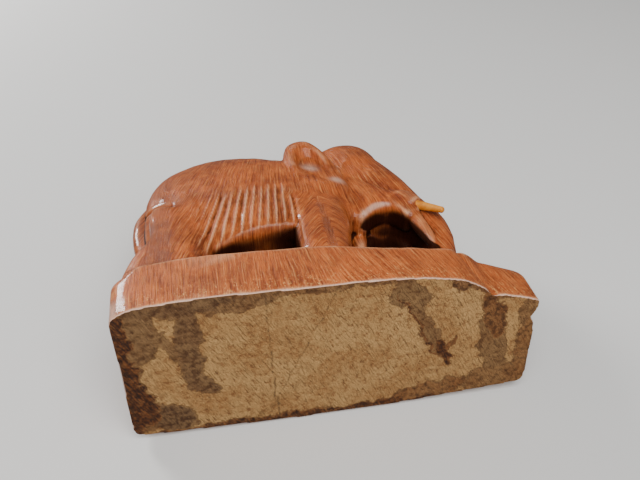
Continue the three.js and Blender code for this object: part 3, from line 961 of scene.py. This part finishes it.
def sawn_underside():
    """Bare end grain: tan, with slanting saw marks, a fine crackle, drips and borders of
    brown stain with a darker tide line, and two thin cracks."""
    paint = Paint("sawn_underside")
    flat = paint.mapped((1, 1, 0))
    broad = paint.noise(flat, 0.06, 3, 0.55)
    mottle = paint.noise(flat, 0.42, 4, 0.68)
    fine = paint.noise(flat, 2.6, 3, 0.75)
    slanting = paint.mapped((1, 1, 0), (0, 0, SAW_SLANT))
    saw = paint.noise(paint.mapped((1, 0.12, 0), source=slanting), 2.0, 4, 0.66, 0.8)
    crackle = paint.cell_edges(paint.mapped((1, 0.4, 0), source=slanting), 0.9)

    tone = paint.mix(paint.rise(broad, 0.38, 0.62), TAN, PALE_TAN)
    tone = paint.mix(paint.rise(mottle, 0.46, 0.66, 0, 0.55), tone, PALE_TAN)
    tone = paint.mix(paint.rise(mottle, 0.5, 0.32, 0, 0.62), tone, RED_STAIN)
    patchy = paint.rise(broad, 0.3, 0.6, 0.35, 0.65)
    sawn = paint.math("MULTIPLY", paint.rise(saw, 0.49, 0.36), patchy)
    tone = paint.mix(sawn, tone, STAIN)
    tone = paint.mix(paint.rise(crackle, 0.05, 0.0, 0, 0.3), tone, STAIN)
    tone = paint.mix(paint.rise(fine, 0.44, 0.27, 0, 0.8), tone, STAIN)
    tone = paint.mix(paint.rise(fine, 0.53, 0.68, 0, 0.75), tone, PALE_GRAIN)

    wander = paint.node("ShaderNodeTexNoise", [("Vector", flat), ("Scale", 0.13), ("Detail", 5),
                                               ("Roughness", 0.62)])
    sideways = paint.node("ShaderNodeVectorMath", [
        (0, wander.outputs["Color"]), (1, (-0.5, -0.5, 0))], operation="ADD").outputs[0]
    warped = paint.node("ShaderNodeVectorMath", [
        (0, sideways), (1, (STAIN_WANDER, STAIN_WANDER, 0)), (2, flat)],
        operation="MULTIPLY_ADD").outputs[0]
    spread, red = 0.0, 0.0
    for at_x, at_y, along, across, turn, redness, strength in STAINS:
        squashed = paint.node("ShaderNodeMapping", [
            ("Vector", warped), ("Location", (at_x, at_y, 0)),
            ("Rotation", (0, 0, math.radians(turn))), ("Scale", (along, across, 1))],
            vector_type="TEXTURE").outputs[0]
        away = paint.node("ShaderNodeVectorMath", [(0, squashed)], operation="LENGTH")
        patch = paint.rise(away.outputs["Value"], 1.12, 0.86)
        patch = paint.math("MULTIPLY", patch, strength)
        spread = paint.math("MAXIMUM", spread, patch)
        red = paint.math("MAXIMUM", red, paint.math("MULTIPLY", patch, redness))
    tide = paint.math("MULTIPLY", paint.rise(spread, 0.05, 0.25), paint.rise(spread, 0.7, 0.35))
    brown = paint.mix(paint.rise(red, 0.1, 0.6), GREY_STAIN, RED_STAIN)
    brown = paint.mix(paint.rise(mottle, 0.56, 0.4, 0, 0.85), brown, STAIN)
    cover = paint.math("MULTIPLY", spread, paint.rise(mottle, 0.3, 0.7, 1.1, 0.8))
    tone = paint.mix(cover, tone, brown)
    tone = paint.mix(paint.math("MULTIPLY", tide, 0.45), tone, STAIN)
    soaked = paint.rise(saw, 0.56, 0.4, 0, 0.85)
    deep = paint.math("MULTIPLY", paint.rise(spread, 0.8, 1.0), soaked)
    tone = paint.mix(deep, tone, SOOT)
    for turn, offset in CRACKS:
        beside = paint.axes(paint.mapped((1, 1, 0), (0, 0, turn), (offset, 0, 0)))[0]
        bent = paint.math("ADD", beside, paint.math("MULTIPLY", paint.noise(flat, 0.1, 2), 4.0))
        thin = paint.rise(paint.math("ABSOLUTE", paint.math("SUBTRACT", bent, 2.0)), 0.5, 0.1)
        broken = paint.math("MULTIPLY", thin, paint.rise(mottle, 0.42, 0.6, 0, 0.6))
        tone = paint.mix(broken, tone, SOOT)

    height = paint.math("MULTIPLY", paint.rise(crackle, 0, 0.09), 0.4)
    normal = paint.bump(saw, 0.5)
    normal = paint.bump(height, 0.12, normal)
    normal = paint.bump(mottle, 0.3, normal)
    normal = paint.bump(fine, 0.2, normal)
    roughness = paint.rise(spread, 0, 1, 0.78, 0.5)
    paint.set(Base_Color=tone, Roughness=roughness, Normal=normal, Specular_IOR_Level=0.3)
    return paint.material


TUSK_ORANGE = (0.62, 0.2, 0.018)
TUSK_YELLOW = (0.74, 0.29, 0.035)
TUSK_GRAIN = (0.56, 0.2, 0.04)


def tusk_wood():
    """Orange-yellow wood under clear varnish, its grain along the peg."""
    paint = Paint("tusk_wood")
    turned = paint.mapped((1, 1, 1), (0, math.degrees(TUSK_DROP), 0))
    grain = paint.noise(paint.mapped((0.12, 1, 1), source=turned), 3.0, 3, 0.6)
    cloud = paint.noise(paint.mapped((1, 1, 1)), 0.4, 2)
    tone = paint.mix(paint.rise(cloud, 0.35, 0.65), TUSK_ORANGE, TUSK_YELLOW)
    tone = paint.mix(paint.rise(grain, 0.5, 0.32, 0, 0.5), tone, TUSK_GRAIN)
    roughness = paint.rise(grain, 0.3, 0.7, 0.42, 0.3)
    paint.set(Base_Color=tone, Roughness=roughness, Normal=paint.bump(grain, 0.06),
              Coat_Weight=0.15, Coat_Roughness=0.2, Specular_IOR_Level=0.2)
    return paint.material


elephant.data.materials.append(varnished_wood())
elephant.data.materials.append(sawn_underside())
peg_wood = tusk_wood()
for name in ("tusk_right_peg", "tusk_left_peg"):
    bpy.data.objects[name].data.materials.append(peg_wood)


# ---- stage -------------------------------------------------------------------------------
def one_sided(name, colour):
    """Pale matt paint that shows only on the front of a sheet."""
    material = bpy.data.materials.new(name)
    material.use_nodes = True
    nodes, links = material.node_tree.nodes, material.node_tree.links
    nodes["Principled BSDF"].inputs["Base Color"].default_value = (*colour, 1)
    nodes["Principled BSDF"].inputs["Roughness"].default_value = 0.9
    side = nodes.new("ShaderNodeNewGeometry")
    clear = nodes.new("ShaderNodeBsdfTransparent")
    either = nodes.new("ShaderNodeMixShader")
    links.new(side.outputs["Backfacing"], either.inputs[0])
    links.new(nodes["Principled BSDF"].outputs[0], either.inputs[1])
    links.new(clear.outputs[0], either.inputs[2])
    links.new(either.outputs[0], nodes["Material Output"].inputs["Surface"])
    return material


PALE = (0.72, 0.71, 0.69)
TABLE_HALF = 3.0
BESIDE, BELOW = 0.0005, 0.0003         # gaps between the block and the two sheets, m


def stage_sheet(name, corners):
    """A four-cornered sheet that neither shades the object nor is mirrored in it."""
    data = bpy.data.meshes.new(name)
    data.from_pydata(corners, [], [(0, 1, 2, 3)])
    sheet = bpy.data.objects.new(name, data)
    bpy.context.scene.collection.objects.link(sheet)
    sheet.data.materials.append(one_sided(name + "_paint", PALE))
    sheet.visible_shadow = False
    sheet.visible_diffuse = False
    sheet.visible_glossy = False
    sheet.visible_transmission = False


wall = cad_box[1][1] + BESIDE
square = [(a * TABLE_HALF, b * TABLE_HALF) for a, b in ((-1, -1), (1, -1), (1, 1), (-1, 1))]
stage_sheet("table_under_its_side", [(a, wall, b) for a, b in square])
stage_sheet("floor", [(a, b, -BELOW) for a, b in square])

# ---- camera and light --------------------------------------------------------------------
CAMERA_AT = Vector((-32.1, -178.8, -176.8)) * MM
LOOKS_ALONG = Vector((0.1246, 0.5927, 0.7957))
CAMERA_UP = Vector((0.1082, -0.8053, 0.5829))
LENS = 42.2                            # focal length for a 36 mm sensor

lens = bpy.data.cameras.new("camera")
lens.lens = LENS
lens.sensor_width = 36
lens.clip_start = 0.01
camera = bpy.data.objects.new("camera", lens)
bpy.context.scene.collection.objects.link(camera)
back = -LOOKS_ALONG.normalized()
right = CAMERA_UP.cross(back).normalized()
up = back.cross(right)
turned = Matrix((right, up, back)).transposed().to_4x4()
camera.matrix_world = Matrix.Translation(CAMERA_AT) @ turned
bpy.context.scene.camera = camera

MIDDLE = Vector((0, 0, 0.055))
ROOM_GREY, ROOM_STRENGTH = 0.8, 0.18


def soft_light(name, towards, distance, size, watts):
    """A square area light, facing the object's middle."""
    lamp = bpy.data.lights.new(name, "AREA")
    lamp.size = size
    lamp.energy = watts
    holder = bpy.data.objects.new(name, lamp)
    bpy.context.scene.collection.objects.link(holder)
    direction = Vector(towards).normalized()
    holder.location = MIDDLE + direction * distance
    holder.rotation_euler = direction.to_track_quat("Z", "Y").to_euler()


soft_light("window", (-0.6, -0.35, 0.72), 0.9, 0.22, 7)
soft_light("room", (0.05, -0.85, -0.62), 1.0, 0.9, 14.5)
soft_light("behind", (-0.5, 0.8, 0.6), 1.0, 0.8, 1.5)

world = bpy.data.worlds.new("room")
world.use_nodes = True
sky = world.node_tree.nodes["Background"]
sky.inputs["Color"].default_value = (ROOM_GREY, ROOM_GREY, ROOM_GREY, 1)
sky.inputs["Strength"].default_value = ROOM_STRENGTH
bpy.context.scene.world = world
